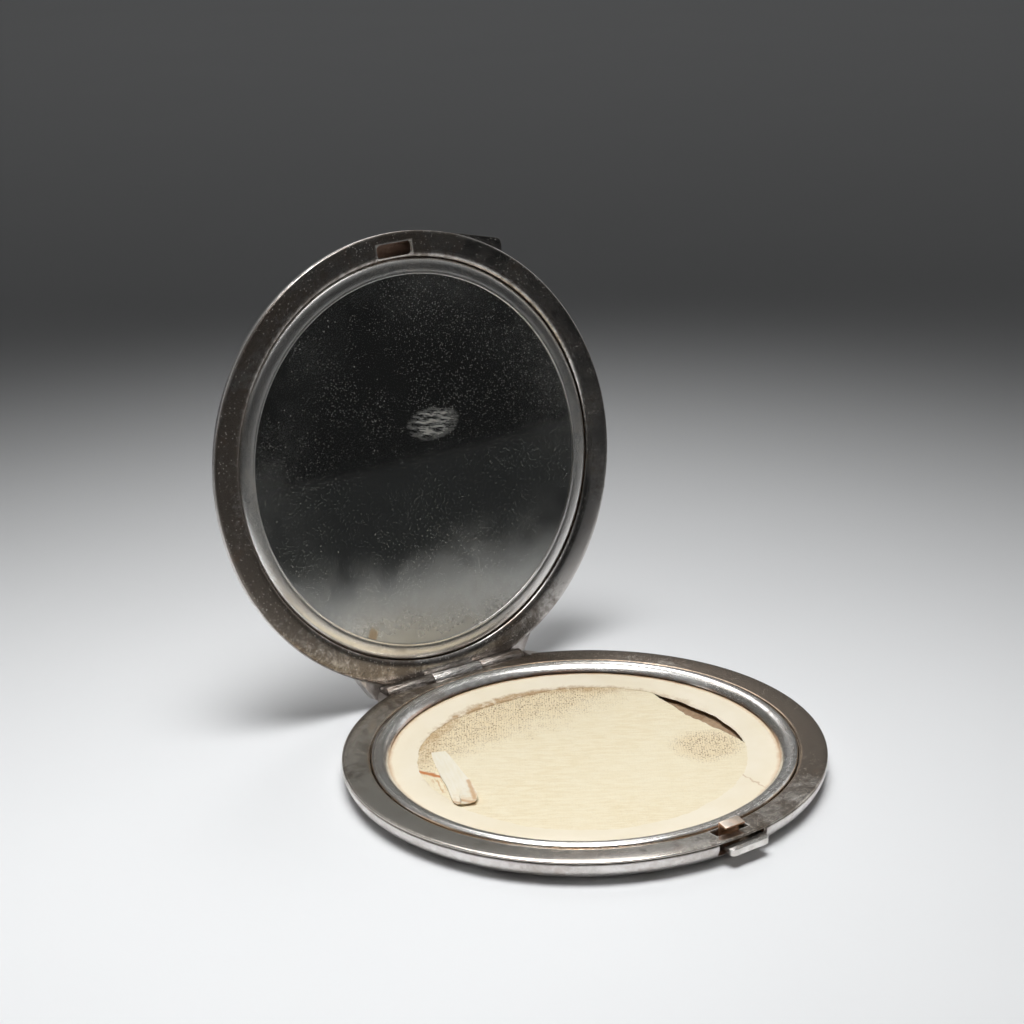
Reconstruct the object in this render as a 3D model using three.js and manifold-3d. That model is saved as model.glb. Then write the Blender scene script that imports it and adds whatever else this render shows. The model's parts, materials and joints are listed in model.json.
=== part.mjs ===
// Round powder compact, open: a shallow base with a sifter, and a hinged lid with a mirror.
// Millimetres, +Z up. Origin: centre of the flat face that the base rests on.
// +X runs along the hinge, +Y points from the catch to the hinge.
// The lid is drawn closed, in lidGroup, and the group is then turned open about the hinge pin.
import * as THREE from 'three';
import { mergeVertices } from 'three/addons/utils/BufferGeometryUtils.js';
import Module from 'manifold-3d';

const wasm = await Module();
wasm.setup();

// ---- driving dimensions -------------------------------------------------------------------
const SEGMENTS = 48;            // facets round a full circle
const RIM_RADIUS = 40;          // outer radius of both halves
const BASE_HEIGHT = 4.2;        // resting face to the base's rim plane
const LID_GAP = 0.15;           // between the two rims when closed
const LID_HEIGHT = 4;           // lid's rim plane to its outer face
const SHEET = 0.7;              // thickness of the pressed shells
const REST_RADIUS = 31;         // radius of the flat part of each shell
const SEAM = 0.1;               // clearance where one piece sits on another
const PLATE_INNER = 35.5;       // inner radius of the two rim plates
const PLATE = 0.4;              // thickness of the rim plates
const WELL_OUTER = 35.95;       // outer radius of the powder well
const SIFTER_OUTER = 35.2;      // outer radius of the sifter's bead
const SIFTER_INNER = 32.3;      // inner radius of the sifter's bead
const BORDER_INNER = 26.7;      // inner radius of the sifter's smooth border
const BEZEL_OUTER = 35.1;       // outer radius of the mirror bezel
const BEZEL_INNER = 32.5;       // inner radius of the mirror bezel
const GLASS_RADIUS = 33.7;      // radius of the mirror
const OPEN_ANGLE = 100.6;       // degrees from closed to fully open
const HINGE_Y = 39.14;          // hinge axis
const HINGE_Z = 2.99;
const KNUCKLE_RADIUS = 1.6;     // hinge tubes
const PIN_RADIUS = 0.4;
const BORE_RADIUS = 0.5;
const HINGE_HALF = 14.5;        // half the hinge's length
const CENTRE_HALF = 5;          // half the middle knuckle's length
const BOSS_HALF_WIDE = 18.3;    // half width of the hinge boss where it leaves the round wall
const BOSS_FRONT = 36.6;        // inner face of the hinge boss
const CATCH_X = 0.8;            // middle of the catch
const SLOT_HALF = 3.1;          // half width of the two hook slots

const LID_RIM_Z = BASE_HEIGHT + LID_GAP;
const LID_TOP = LID_RIM_Z + LID_HEIGHT;
const BASE_WALL = BASE_HEIGHT - PLATE - 2 * SEAM;
const LID_WALL_Z = LID_RIM_Z + PLATE + 2 * SEAM;
const TROUGH_RADIUS = KNUCKLE_RADIUS + 0.25;
const NOTCH_Y = HINGE_Y - TROUGH_RADIUS;
const NOTCH_HALF = HINGE_HALF + 0.5;
const SLOPE_Y = 36.3;           // where the base's rim starts to fall toward the hinge

// ---- materials ----------------------------------------------------------------------------
const metal = (colour, roughness) => new THREE.MeshStandardMaterial({ color: colour, roughness, metalness: 1 });
const soft = (colour, roughness) => new THREE.MeshStandardMaterial({ color: colour, roughness, metalness: 0 });
const wornSilver = () => metal(0xa9a39c, 0.32);
const tarnishedSilver = () => metal(0x5f564d, 0.35);
const brightSilver = () => metal(0xd5d2cc, 0.2);
const springBrass = () => metal(0xb98758, 0.4);

// ---- solids -------------------------------------------------------------------------------
const round = (angle) => angle * Math.PI / 180;

// Turns any closed geometry into a solid: shared corners merged, empty triangles dropped, faces out.
function solid(geometry) {
  const bare = geometry.clone();
  bare.deleteAttribute('normal');
  bare.deleteAttribute('uv');
  const merged = mergeVertices(bare, 1e-4);
  const place = merged.attributes.position;
  const corners = [];
  let volume = 0;
  const a = new THREE.Vector3();
  const b = new THREE.Vector3();
  const c = new THREE.Vector3();
  for (let i = 0; i < merged.index.count; i += 3) {
    const [p, q, r] = [0, 1, 2].map((k) => merged.index.getX(i + k));
    if (p === q || q === r || r === p) continue;
    a.fromBufferAttribute(place, p);
    b.fromBufferAttribute(place, q);
    c.fromBufferAttribute(place, r);
    volume += a.dot(b.cross(c));
    corners.push([p, q, r]);
  }
  const outward = volume > 0 ? corners : corners.map(([p, q, r]) => [p, r, q]);
  return new wasm.Manifold(new wasm.Mesh({
    numProp: 3,
    vertProperties: new Float32Array(place.array),
    triVerts: new Uint32Array(outward.flat()),
  }));
}

function mesh(name, body, material) {
  const { vertProperties, triVerts } = body.getMesh();
  const geometry = new THREE.BufferGeometry();
  geometry.setAttribute('position', new THREE.BufferAttribute(new Float32Array(vertProperties), 3));
  geometry.setIndex(new THREE.BufferAttribute(new Uint32Array(triVerts), 1));
  geometry.computeVertexNormals();
  const made = new THREE.Mesh(geometry, material);
  made.name = name;
  return made;
}

// Revolves [radius, height] points about Z. The outline closes on itself or ends on the axis.
function turned(outline, segments = SEGMENTS) {
  const points = outline.map(([r, z]) => new THREE.Vector2(r, z));
  const onAxis = outline[0][0] === 0 && outline[outline.length - 1][0] === 0;
  if (!onAxis) points.push(points[0].clone());
  return solid(new THREE.LatheGeometry(points, segments).rotateX(Math.PI / 2));
}

function block(x0, x1, y0, y1, z0, z1) {
  const box = new THREE.BoxGeometry(x1 - x0, y1 - y0, z1 - z0);
  return solid(box.translate((x0 + x1) / 2, (y0 + y1) / 2, (z0 + z1) / 2));
}

function prism(shape, z0, z1, curveSegments = 8) {
  const settings = { depth: z1 - z0, bevelEnabled: false, curveSegments };
  return solid(new THREE.ExtrudeGeometry(shape, settings).translate(0, 0, z0));
}

// A bar along X between x0 and x1 whose section is a list of [y, z] points.
function bar(section, x0, x1) {
  const shape = new THREE.Shape(section.map(([y, z]) => new THREE.Vector2(y, z)));
  const made = new THREE.ExtrudeGeometry(shape, { depth: x1 - x0, bevelEnabled: false });
  made.rotateX(Math.PI / 2).rotateZ(Math.PI / 2);
  return solid(made.translate(x0, 0, 0));
}

function rod(radius, x0, x1, y, z, segments = 20) {
  const made = new THREE.CylinderGeometry(radius, radius, x1 - x0, segments);
  return solid(made.rotateZ(Math.PI / 2).translate((x0 + x1) / 2, y, z));
}

// Section of the pressed shells: flat, then a cushion that rises ever more steeply to the wall.
function cushion(flat, edge, low, high, steps = 7) {
  return Array.from({ length: steps + 1 }, (_, i) => {
    const rise = Math.cos(round(90 * i / steps));
    const spread = Math.pow(1 - Math.pow(rise, 2.27), 0.25);
    return [flat + (edge - flat) * spread, low + (high - low) * (1 - rise)];
  });
}

function dish(wall) {
  const outside = cushion(REST_RADIUS, RIM_RADIUS, 0, wall);
  const inside = cushion(REST_RADIUS, RIM_RADIUS - SHEET, SHEET, wall);
  return turned([[0, 0], ...outside, ...inside.reverse(), [0, SHEET]]);
}

// The block behind the round wall that carries the hinge, in plan a trapezium with soft corners.
function bossOutline(back) {
  const half = BOSS_HALF_WIDE;
  const shoulder = Math.sqrt(RIM_RADIUS ** 2 - half ** 2);
  const end = HINGE_HALF + 0.6;
  const corner = 0.8;
  const shape = new THREE.Shape();
  shape.moveTo(-half + 1.2, BOSS_FRONT - 1);
  shape.lineTo(half - 1.2, BOSS_FRONT - 1);
  shape.lineTo(half, shoulder);
  shape.lineTo(end + corner * 0.55, back - corner);
  shape.quadraticCurveTo(end, back, end - corner, back);
  shape.lineTo(-end + corner, back);
  shape.quadraticCurveTo(-end, back, -end - corner * 0.55, back - corner);
  shape.lineTo(-half, shoulder);
  shape.closePath();
  return shape;
}

// ---- base ---------------------------------------------------------------------------------
// Cuts the base's rim down toward the hinge, so that the tubes stand clear of it.
function hingeSlope() {
  const top = BASE_HEIGHT + 2;
  const section = [
    [SLOPE_Y, BASE_HEIGHT], [NOTCH_Y, BASE_WALL - 2 * SEAM], [RIM_RADIUS + 2, BASE_WALL - 2 * SEAM],
    [RIM_RADIUS + 2, top], [SLOPE_Y, top],
  ];
  return bar(section, -NOTCH_HALF, NOTCH_HALF);
}

function baseShell() {
  const boss = prism(bossOutline(HINGE_Y + 0.96), 0.85, BASE_WALL)
    .subtract(turned([[0, 0], [BOSS_FRONT, 0], [BOSS_FRONT, 5], [0, 5]]));
  const trough = rod(TROUGH_RADIUS, -NOTCH_HALF, NOTCH_HALF, HINGE_Y, HINGE_Z, 24);
  const above = block(-NOTCH_HALF, NOTCH_HALF, NOTCH_Y, RIM_RADIUS + 2, HINGE_Z, BASE_HEIGHT + 1);
  const window = block(CATCH_X - 4.1, CATCH_X + 5.5, -RIM_RADIUS - 1, -37, 1.7, BASE_HEIGHT);
  return dish(BASE_WALL).add(boss).subtract(trough).subtract(above).subtract(hingeSlope())
    .subtract(window);
}

function rimSection(outerZ, innerZ, direction) {
  const t = PLATE * direction;
  return [
    [PLATE_INNER, innerZ], [37.2, innerZ + (outerZ - innerZ) * 0.55], [39.2, outerZ],
    [39.75, outerZ], [RIM_RADIUS, outerZ + 0.18 * direction], [RIM_RADIUS, outerZ + t],
    [39.2, outerZ + t], [37.2, innerZ + (outerZ - innerZ) * 0.55 + t], [PLATE_INNER, innerZ + t],
  ];
}

function hookSlot(front, back, z) {
  return block(CATCH_X - SLOT_HALF, CATCH_X + SLOT_HALF, front, back, z - 2, z + 2);
}

function baseRim() {
  return turned(rimSection(BASE_HEIGHT, BASE_HEIGHT - 0.15, -1))
    .subtract(hookSlot(-38.1, -35.9, BASE_HEIGHT))
    .subtract(hingeSlope());
}

const WELL_FLOOR = SHEET + SEAM;
const LEDGE = 1.6;
function powderWell() {
  return turned([
    [0, WELL_FLOOR], [33.8, WELL_FLOOR], [34.3, 1.2], [WELL_OUTER, 1.25], [WELL_OUTER, BASE_WALL],
    [WELL_OUTER - 0.5, BASE_WALL], [WELL_OUTER - 0.5, LEDGE], [33.8, LEDGE], [33.4, 1.2], [0, 1.2],
  ]);
}

function loosePowder() {
  return turned([[0, 1.3], [33.2, 1.3], [33.2, 1.7], [31.5, 1.9], [0, 1.9]]);
}

// The sifter's bead: a rolled ring with a skirt that drops into the well.
function sifterRing() {
  const crest = BASE_HEIGHT + 0.25;
  return turned([
    [SIFTER_INNER, 3.25], [SIFTER_INNER + 0.15, 3.1], [SIFTER_INNER + 0.55, 3.15],
    [33.3, 3.75], [33.9, 4], [34.55, 3.9], [34.75, 3.5], [34.75, LEDGE + SEAM],
    [SIFTER_OUTER, LEDGE + SEAM], [SIFTER_OUTER, 3.9], [35.05, 4.15], [34.6, crest - 0.08],
    [34, crest], [33.4, crest - 0.12], [32.8, 3.95], [32.45, 3.6],
  ]);
}

function sifterBorder() {
  return turned([[BORDER_INNER, 2.62], [33.9, 2.62], [33.9, 3], [BORDER_INNER + 0.2, 2.92]]);
}

function sifterGauze() {
  return turned([[0, 2.32], [34.1, 2.32], [34.1, 2.52], [0, 2.52]]);
}

function sifterClamp() {
  return turned([[33.6, 1.75], [34.6, 1.75], [34.6, 2.2], [33.6, 2.2]]);
}

function ribbonTab() {
  const shape = new THREE.Shape();
  shape.moveTo(-25.2, -6.2);
  shape.quadraticCurveTo(-23.2, -7, -21.8, -5);
  shape.lineTo(-16.4, 12.4);
  shape.lineTo(-19.8, 13.4);
  shape.closePath();
  return prism(shape, 2.6, 2.85).subtract(turned([[BORDER_INNER - 0.1, 2], [40, 2], [40, 4], [BORDER_INNER - 0.1, 4]]));
}

// ---- hinge --------------------------------------------------------------------------------
function knuckle(x0, x1, web) {
  return rod(KNUCKLE_RADIUS, x0, x1, HINGE_Y, HINGE_Z)
    .add(web)
    .subtract(rod(BORE_RADIUS, x0 - 1, x1 + 1, HINGE_Y, HINGE_Z));
}

function baseKnuckle() {
  const half = CENTRE_HALF - SEAM;
  const foot = HINGE_Z - TROUGH_RADIUS + 2 * SEAM;
  const web = block(-half, half, HINGE_Y - 0.5, HINGE_Y + 0.5, foot, HINGE_Z);
  return knuckle(-half, half, web);
}

function lidKnuckle(x0, x1) {
  const web = block(x0, x1, HINGE_Y - 0.5, HINGE_Y + 0.5, HINGE_Z, LID_WALL_Z - SEAM);
  return knuckle(x0, x1, web);
}

// ---- catch --------------------------------------------------------------------------------
const PLATE_FACE = -37.55;      // inner face of the push piece
const RIVETS = [CATCH_X - 1.2, CATCH_X + 1.2];
const RIVET_Z = 2.75;
function rivetRod(x, radius, y0, y1) {
  const made = new THREE.CylinderGeometry(radius, radius, y1 - y0, 12);
  return solid(made.translate(x, (y0 + y1) / 2, RIVET_Z));
}

function drilled(body) {
  return RIVETS.reduce((left, x) => left.subtract(rivetRod(x, 0.3, -39, -36)), body);
}

function pushPiece() {
  const left = CATCH_X - 3;
  const right = CATCH_X + 4.6;
  const corner = 0.8;
  const shape = new THREE.Shape();
  shape.moveTo(left, PLATE_FACE - 0.4);
  shape.lineTo(left, -41.7 + corner);
  shape.quadraticCurveTo(left, -41.7, left + corner, -41.7);
  shape.lineTo(right - corner, -41.4);
  shape.quadraticCurveTo(right, -41.4, right, -41.4 + corner);
  shape.lineTo(right, PLATE_FACE - 0.4);
  shape.closePath();
  const flange = block(CATCH_X - 4.7, CATCH_X + 6.1, PLATE_FACE - 0.5, PLATE_FACE, 2.2, 3.3);
  return drilled(prism(shape, 2.1, 3.2).add(flange));
}

const SPRING_OUT = PLATE_FACE + SEAM;
const SPRING_THICK = 0.25;
const SPRING_SPAN = 13;
const SPRING_RISE = 2.4;
function catchSpring() {
  const bow = (x) => SPRING_OUT + SPRING_RISE * (x / SPRING_SPAN) ** 2;
  const along = Array.from({ length: 17 }, (_, i) => SPRING_SPAN * (i / 8 - 1));
  const outer = along.map((x) => new THREE.Vector2(CATCH_X + x, bow(x)));
  const inner = along.map((x) => new THREE.Vector2(CATCH_X + x, bow(x) + SPRING_THICK)).reverse();
  return drilled(prism(new THREE.Shape([...outer, ...inner]), 2.25, 3.25));
}

const HOOK_OUT = SPRING_OUT + SPRING_THICK + SEAM;
const HOOK_IN = HOOK_OUT + 0.45;
const HOOK_TIP = -38.6;         // how far the nose reaches over the lid's rim plate
const HOOK_FOOT = 2.1;
function catchHook() {
  const under = LID_RIM_Z + PLATE + 0.35;
  const section = [
    [HOOK_OUT, HOOK_FOOT], [HOOK_OUT, under], [HOOK_TIP + 0.15, under], [HOOK_TIP, under + 0.1],
    [HOOK_TIP + 0.1, under + 0.28], [HOOK_OUT, under + 0.62], [HOOK_IN - 0.15, under + 0.7],
    [HOOK_IN, under + 0.55], [HOOK_IN, HOOK_FOOT],
  ];
  return drilled(bar(section, CATCH_X - 1.9, CATCH_X + 1.9));
}

// Slotted post that holds one end of the leaf spring.
function springPost(side) {
  const x = CATCH_X + side * (SPRING_SPAN - 0.4);
  const y = SPRING_OUT + SPRING_RISE + SPRING_THICK / 2;
  const foot = 1.85;
  const top = BASE_WALL - SEAM;
  const post = new THREE.CylinderGeometry(0.8, 0.8, top - foot, 16);
  const slope = side * 2 * SPRING_RISE / SPRING_SPAN;
  const slit = new THREE.BoxGeometry(2.2, 0.5, 4);
  slit.translate(-side * 0.6, 0, 0).rotateZ(Math.atan(slope)).translate(x, y - 0.1, 2.5);
  return solid(post.rotateX(Math.PI / 2).translate(x, y, (top + foot) / 2)).subtract(solid(slit));
}

// ---- lid, drawn closed --------------------------------------------------------------------
function lidShell() {
  const wall = LID_TOP - LID_WALL_Z;
  const boss = prism(bossOutline(HINGE_Y + 1.1), LID_WALL_Z, LID_TOP - 1.3)
    .subtract(turned([[0, 0], [BOSS_FRONT + 1.6, 0], [BOSS_FRONT + 1.6, 20], [0, 20]]));
  return dish(wall).rotate([180, 0, 0]).translate([0, 0, LID_TOP]).add(boss);
}

function lidRim() {
  const notch = block(-NOTCH_HALF, NOTCH_HALF, HINGE_Y - 1.3, RIM_RADIUS + 1, LID_RIM_Z - 1, LID_RIM_Z + 1);
  return turned(rimSection(LID_RIM_Z, LID_RIM_Z + 0.5, 1))
    .subtract(hookSlot(-38.2, -35.8, LID_RIM_Z))
    .subtract(notch);
}

const GLASS_FRONT = LID_RIM_Z + 0.6;
const GLASS_BACK = GLASS_FRONT + 1.2;
function mirrorBezel() {
  const lip = LID_RIM_Z + 0.29;
  const wall = GLASS_RADIUS + 0.2;
  return turned([
    [BEZEL_INNER, lip + 0.15], [BEZEL_INNER + 0.15, lip], [33.9, lip], [34.5, lip + 0.12],
    [34.9, lip + 0.35], [BEZEL_OUTER, lip + 0.7], [BEZEL_OUTER, GLASS_BACK + 0.8],
    [wall, GLASS_BACK + 0.8], [wall, GLASS_FRONT - SEAM], [BEZEL_INNER + 0.1, GLASS_FRONT - SEAM],
  ]);
}

function mirrorGlass() {
  const edge = 0.15;
  return turned([
    [0, GLASS_FRONT], [GLASS_RADIUS - edge, GLASS_FRONT], [GLASS_RADIUS, GLASS_FRONT + edge],
    [GLASS_RADIUS, GLASS_BACK], [0, GLASS_BACK],
  ]);
}

function mirrorCard() {
  return turned([[0, GLASS_BACK + SEAM], [GLASS_RADIUS, GLASS_BACK + SEAM],
    [GLASS_RADIUS, GLASS_BACK + 0.6], [0, GLASS_BACK + 0.6]]);
}

// Thin plate that stands out from the lid's wall, beside the catch, for a fingernail.
function thumbTab() {
  const shape = new THREE.Shape();
  const inner = RIM_RADIUS + SEAM;
  const start = round(18.5);
  const stop = round(34);
  shape.moveTo(inner * Math.sin(start), -inner * Math.cos(start));
  shape.lineTo(21.9, -35.9);
  shape.quadraticCurveTo(23, -35.5, 22.95, -34.7);
  shape.lineTo(inner * Math.sin(stop), -inner * Math.cos(stop));
  shape.absarc(0, 0, inner, stop - Math.PI / 2, start - Math.PI / 2, true);
  return prism(shape, LID_WALL_Z, LID_WALL_Z + 0.7, 12);
}

// ---- the model ----------------------------------------------------------------------------
const compact = new THREE.Group();

compact.add(
  mesh('base_shell', baseShell(), wornSilver()),
  mesh('base_rim_plate', baseRim(), tarnishedSilver()),
  mesh('powder_well', powderWell(), wornSilver()),
  mesh('loose_powder', loosePowder(), soft(0xe2cfae, 0.95)),
  mesh('sifter_ring', sifterRing(), brightSilver()),
  mesh('sifter_border', sifterBorder(), soft(0xf0e6cf, 0.7)),
  mesh('sifter_gauze', sifterGauze(), soft(0xe8dcba, 0.85)),
  mesh('sifter_clamp_ring', sifterClamp(), wornSilver()),
  mesh('ribbon_pull', ribbonTab(), soft(0xf3e8d2, 0.6)),
  mesh('base_hinge_knuckle', baseKnuckle(), brightSilver()),
  mesh('hinge_pin', rod(PIN_RADIUS, -HINGE_HALF, HINGE_HALF, HINGE_Y, HINGE_Z, 16), wornSilver()),
  mesh('catch_spring', catchSpring(), springBrass()),
  mesh('spring_post_left', springPost(-1), wornSilver()),
  mesh('spring_post_right', springPost(1), wornSilver()),
  mesh('push_piece', pushPiece(), brightSilver()),
  mesh('catch_hook', catchHook(), springBrass()),
  mesh('catch_rivet_left', rivetRod(RIVETS[0], 0.2, PLATE_FACE - 0.4, HOOK_IN), springBrass()),
  mesh('catch_rivet_right', rivetRod(RIVETS[1], 0.2, PLATE_FACE - 0.4, HOOK_IN), springBrass()),
);

const lidGroup = new THREE.Group();
lidGroup.position.set(0, HINGE_Y, HINGE_Z);
lidGroup.rotation.x = -round(OPEN_ANGLE);
const lid = new THREE.Group();
lid.position.set(0, -HINGE_Y, -HINGE_Z);
lidGroup.add(lid);
compact.add(lidGroup);

lid.add(
  mesh('lid_shell', lidShell(), wornSilver()),
  mesh('lid_rim_plate', lidRim(), tarnishedSilver()),
  mesh('mirror_bezel', mirrorBezel(), brightSilver()),
  mesh('mirror_glass', mirrorGlass(), metal(0x9aa0a4, 0.05)),
  mesh('mirror_backing_card', mirrorCard(), soft(0x8d7a5c, 0.9)),
  mesh('thumb_tab', thumbTab(), tarnishedSilver()),
  mesh('lid_hinge_knuckle_left', lidKnuckle(-HINGE_HALF, -CENTRE_HALF - SEAM), wornSilver()),
  mesh('lid_hinge_knuckle_right', lidKnuckle(CENTRE_HALF + SEAM, HINGE_HALF - 0.6), wornSilver()),
);

export default compact;
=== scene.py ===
"""Looks of an open powder compact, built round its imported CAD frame. Run inside Blender 4.5."""

import json
import math

import bmesh
import bpy
from mathutils import Matrix, Vector, noise


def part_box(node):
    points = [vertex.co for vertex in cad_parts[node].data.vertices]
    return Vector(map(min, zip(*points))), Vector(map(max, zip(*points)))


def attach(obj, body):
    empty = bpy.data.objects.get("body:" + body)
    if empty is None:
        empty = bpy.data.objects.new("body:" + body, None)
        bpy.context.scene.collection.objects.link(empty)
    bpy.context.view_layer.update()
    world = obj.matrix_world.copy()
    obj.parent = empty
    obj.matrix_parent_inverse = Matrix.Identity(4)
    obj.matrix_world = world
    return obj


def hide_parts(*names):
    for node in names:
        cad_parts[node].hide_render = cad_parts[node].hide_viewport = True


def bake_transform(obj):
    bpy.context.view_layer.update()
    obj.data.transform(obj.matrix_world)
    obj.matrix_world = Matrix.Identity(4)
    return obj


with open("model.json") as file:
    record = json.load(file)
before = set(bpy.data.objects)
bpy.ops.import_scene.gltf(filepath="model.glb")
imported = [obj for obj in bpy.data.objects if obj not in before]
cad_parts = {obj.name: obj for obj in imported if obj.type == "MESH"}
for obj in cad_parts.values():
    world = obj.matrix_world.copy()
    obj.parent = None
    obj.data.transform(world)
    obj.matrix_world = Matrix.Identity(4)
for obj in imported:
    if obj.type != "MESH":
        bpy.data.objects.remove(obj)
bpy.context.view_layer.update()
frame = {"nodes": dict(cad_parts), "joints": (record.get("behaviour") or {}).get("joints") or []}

# ---- sizes: lengths are in millimetres here and become metres when a mesh is made -----------
MM = 0.001
AROUND = 288                       # facets round a full circle
RIM_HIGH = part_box("base_rim_plate")[1]
RIM_R = RIM_HIGH.x / MM            # outer radius of both halves
RIM_Z = RIM_HIGH.z / MM            # base's rim plane
HINGE = next(j for j in frame["joints"] if j["name"] == "lid_hinge")
HINGE_Y, HINGE_Z = (v / MM for v in HINGE["pos_m"][1:])
OPEN = math.radians(HINGE["range_deg"][1])
BOSS_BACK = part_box("base_shell")[1].y / MM
KNUCKLE_R = (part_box("base_hinge_knuckle")[1].z / MM) - HINGE_Z
SHEET = 0.7                        # thickness of the pressed shells
REST_R = 31.0                      # flat part of each shell
PLATE = 0.4                        # thickness of the two rim plates
PLATE_IN = 35.5                    # their inner radius
LID_RIM_Z = RIM_Z + 0.15           # lid's rim plane when closed
LID_TOP = LID_RIM_Z + 4.0
BASE_WALL = RIM_Z - PLATE - 0.2
LID_WALL_Z = LID_RIM_Z + PLATE + 0.2
CATCH_X = (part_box("catch_hook")[0].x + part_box("catch_hook")[1].x) / 2 / MM
LEAF = 0.25                        # thickness of the leaf spring
RIVET_HOLE = 0.3                   # half width of its rivet holes
SLOT_HALF = 3.1                    # half width of the hook slots
# The slots in the two rim plates: left, right, front, back.
BASE_SLOT = (CATCH_X - SLOT_HALF, CATCH_X + SLOT_HALF, -38.1, -35.9)
LID_SLOT = (CATCH_X - SLOT_HALF - 0.9, CATCH_X + SLOT_HALF, -38.2, -35.8)
SIFTER_OUT, SIFTER_IN = 35.2, 32.3
BORDER_IN = 26.9                   # mean inner radius of the sifter's smooth border
NET_Z = 2.45                       # mean height of the net
NET_R = 31.5                       # its radius, where it isn't torn
GLASS_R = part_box("mirror_glass")[1].x / MM
GLASS_Z = LID_RIM_Z + 0.6          # front of the mirror, lid closed
TROUGH_R = KNUCKLE_R + 0.25        # hollow under the hinge tubes
HINGE_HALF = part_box("hinge_pin")[1].x / MM
NOTCH_HALF = HINGE_HALF + 0.5
SLOPE_Y = 36.3                     # where the base's rim starts to fall toward the hinge
VIEW_TURN = math.radians(-33.708)  # bearing of the camera, and of the net's threads

LID_OPEN = (
    Matrix.Translation(Vector((0, HINGE_Y, HINGE_Z)) * MM)
    @ Matrix.Rotation(-OPEN, 4, "X")
    @ Matrix.Translation(Vector((0, -HINGE_Y, -HINGE_Z)) * MM)
)


# ---- mesh helpers ---------------------------------------------------------------------------
def add_object(name, mesh):
    made = bpy.data.objects.new(name, mesh)
    bpy.context.scene.collection.objects.link(made)
    return made


def mesh_object(name, points, faces, smooth=True):
    """A mesh from points in millimetres."""
    mesh = bpy.data.meshes.new(name)
    mesh.from_pydata([Vector(p) * MM for p in points], [], faces)
    mesh.validate()
    mesh.polygons.foreach_set("use_smooth", [smooth] * len(mesh.polygons))
    return add_object(name, mesh)


def bake(obj):
    """Applies the modifiers."""
    graph = bpy.context.evaluated_depsgraph_get()
    graph.update()
    done = bpy.data.meshes.new_from_object(obj.evaluated_get(graph))
    obj.modifiers.clear()
    obj.data = done
    return obj


def boolean(obj, other, operation):
    step = obj.modifiers.new("join", "BOOLEAN")
    step.object = other
    step.operation = operation
    step.solver = "EXACT"
    bake(obj)
    bpy.data.objects.remove(other)
    return obj


def soften(obj, width, angle=35, segments=3):
    """Rounds the sharp edges that the cuts leave."""
    step = obj.modifiers.new("soften", "BEVEL")
    step.width = width * MM
    step.segments = segments
    step.limit_method = "ANGLE"
    step.angle_limit = math.radians(angle)
    step.use_clamp_overlap = True
    bake(obj)
    return crease(obj)


def crease(obj, angle=40):
    """Smooth shading, with real corners kept sharp."""
    obj.data.polygons.foreach_set("use_smooth", [True] * len(obj.data.polygons))
    obj.data.set_sharp_from_angle(angle=math.radians(angle))
    return obj


def smooth_line(points, steps=6):
    """A Catmull-Rom curve through the points."""
    ends = [points[0], *points, points[-1]]
    line = []
    for a, b, c, d in zip(ends, ends[1:], ends[2:], ends[3:]):
        for i in range(steps):
            t = i / steps
            line.append(tuple(
                0.5 * (2 * q + (r - p) * t + (2 * p - 5 * q + 4 * r - s) * t * t
                       + (3 * q - p - 3 * r + s) * t ** 3)
                for p, q, r, s in zip(a, b, c, d)
            ))
    return [*line, points[-1]]


def lathe(name, outline, around=AROUND):
    """Revolves a closed outline of (radius, height) about Z. Points at radius 0 meet on the axis."""
    points, rings = [], []
    for radius, height in outline:
        if radius < 1e-6:
            rings.append([len(points)] * around)
            points.append((0, 0, height))
            continue
        rings.append(list(range(len(points), len(points) + around)))
        for i in range(around):
            turn = 2 * math.pi * i / around
            points.append((radius * math.cos(turn), radius * math.sin(turn), height))
    faces = []
    closed = [*rings, rings[0]]
    for low, high in zip(closed, closed[1:]):
        if low[0] == low[1] and high[0] == high[1]:
            continue
        for i in range(around):
            j = (i + 1) % around
            corners = dict.fromkeys([low[i], low[j], high[j], high[i]])
            faces.append(tuple(corners))
    made = mesh_object(name, points, faces)
    return outward(made)


def outward(obj):
    work = bmesh.new()
    work.from_mesh(obj.data)
    bmesh.ops.recalc_face_normals(work, faces=work.faces)
    if work.calc_volume(signed=True) < 0:
        bmesh.ops.reverse_faces(work, faces=work.faces)
    work.to_mesh(obj.data)
    work.free()
    return obj


def block(name, low, high):
    corners = [(x, y, z) for x in (low[0], high[0]) for y in (low[1], high[1]) for z in (low[2], high[2])]
    faces = [(0, 1, 3, 2), (4, 6, 7, 5), (0, 4, 5, 1), (2, 3, 7, 6), (0, 2, 6, 4), (1, 5, 7, 3)]
    return outward(mesh_object(name, corners, faces, smooth=False))


def prism(name, outline, low, high):
    """Extrudes an outline of (x, y) from height low to high."""
    count = len(outline)
    points = [(x, y, low) for x, y in outline] + [(x, y, high) for x, y in outline]
    faces = [tuple(range(count)), tuple(range(2 * count - 1, count - 1, -1))]
    faces += [(i, (i + 1) % count, (i + 1) % count + count, i + count) for i in range(count)]
    return outward(mesh_object(name, points, faces, smooth=False))


def bar(name, section, low, high):
    """Extrudes a section of (y, z) along X from low to high."""
    made = prism(name, section, low, high)
    made.data.transform(Matrix(((0, 0, 1, 0), (1, 0, 0, 0), (0, 1, 0, 0), (0, 0, 0, 1))))
    return outward(made)


def rod(name, radius, low, high, around=64):
    """A cylinder on the hinge axis."""
    circle = [
        (HINGE_Y + radius * math.cos(2 * math.pi * i / around),
         HINGE_Z + radius * math.sin(2 * math.pi * i / around))
        for i in range(around)
    ]
    return bar(name, circle, low, high)


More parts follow.
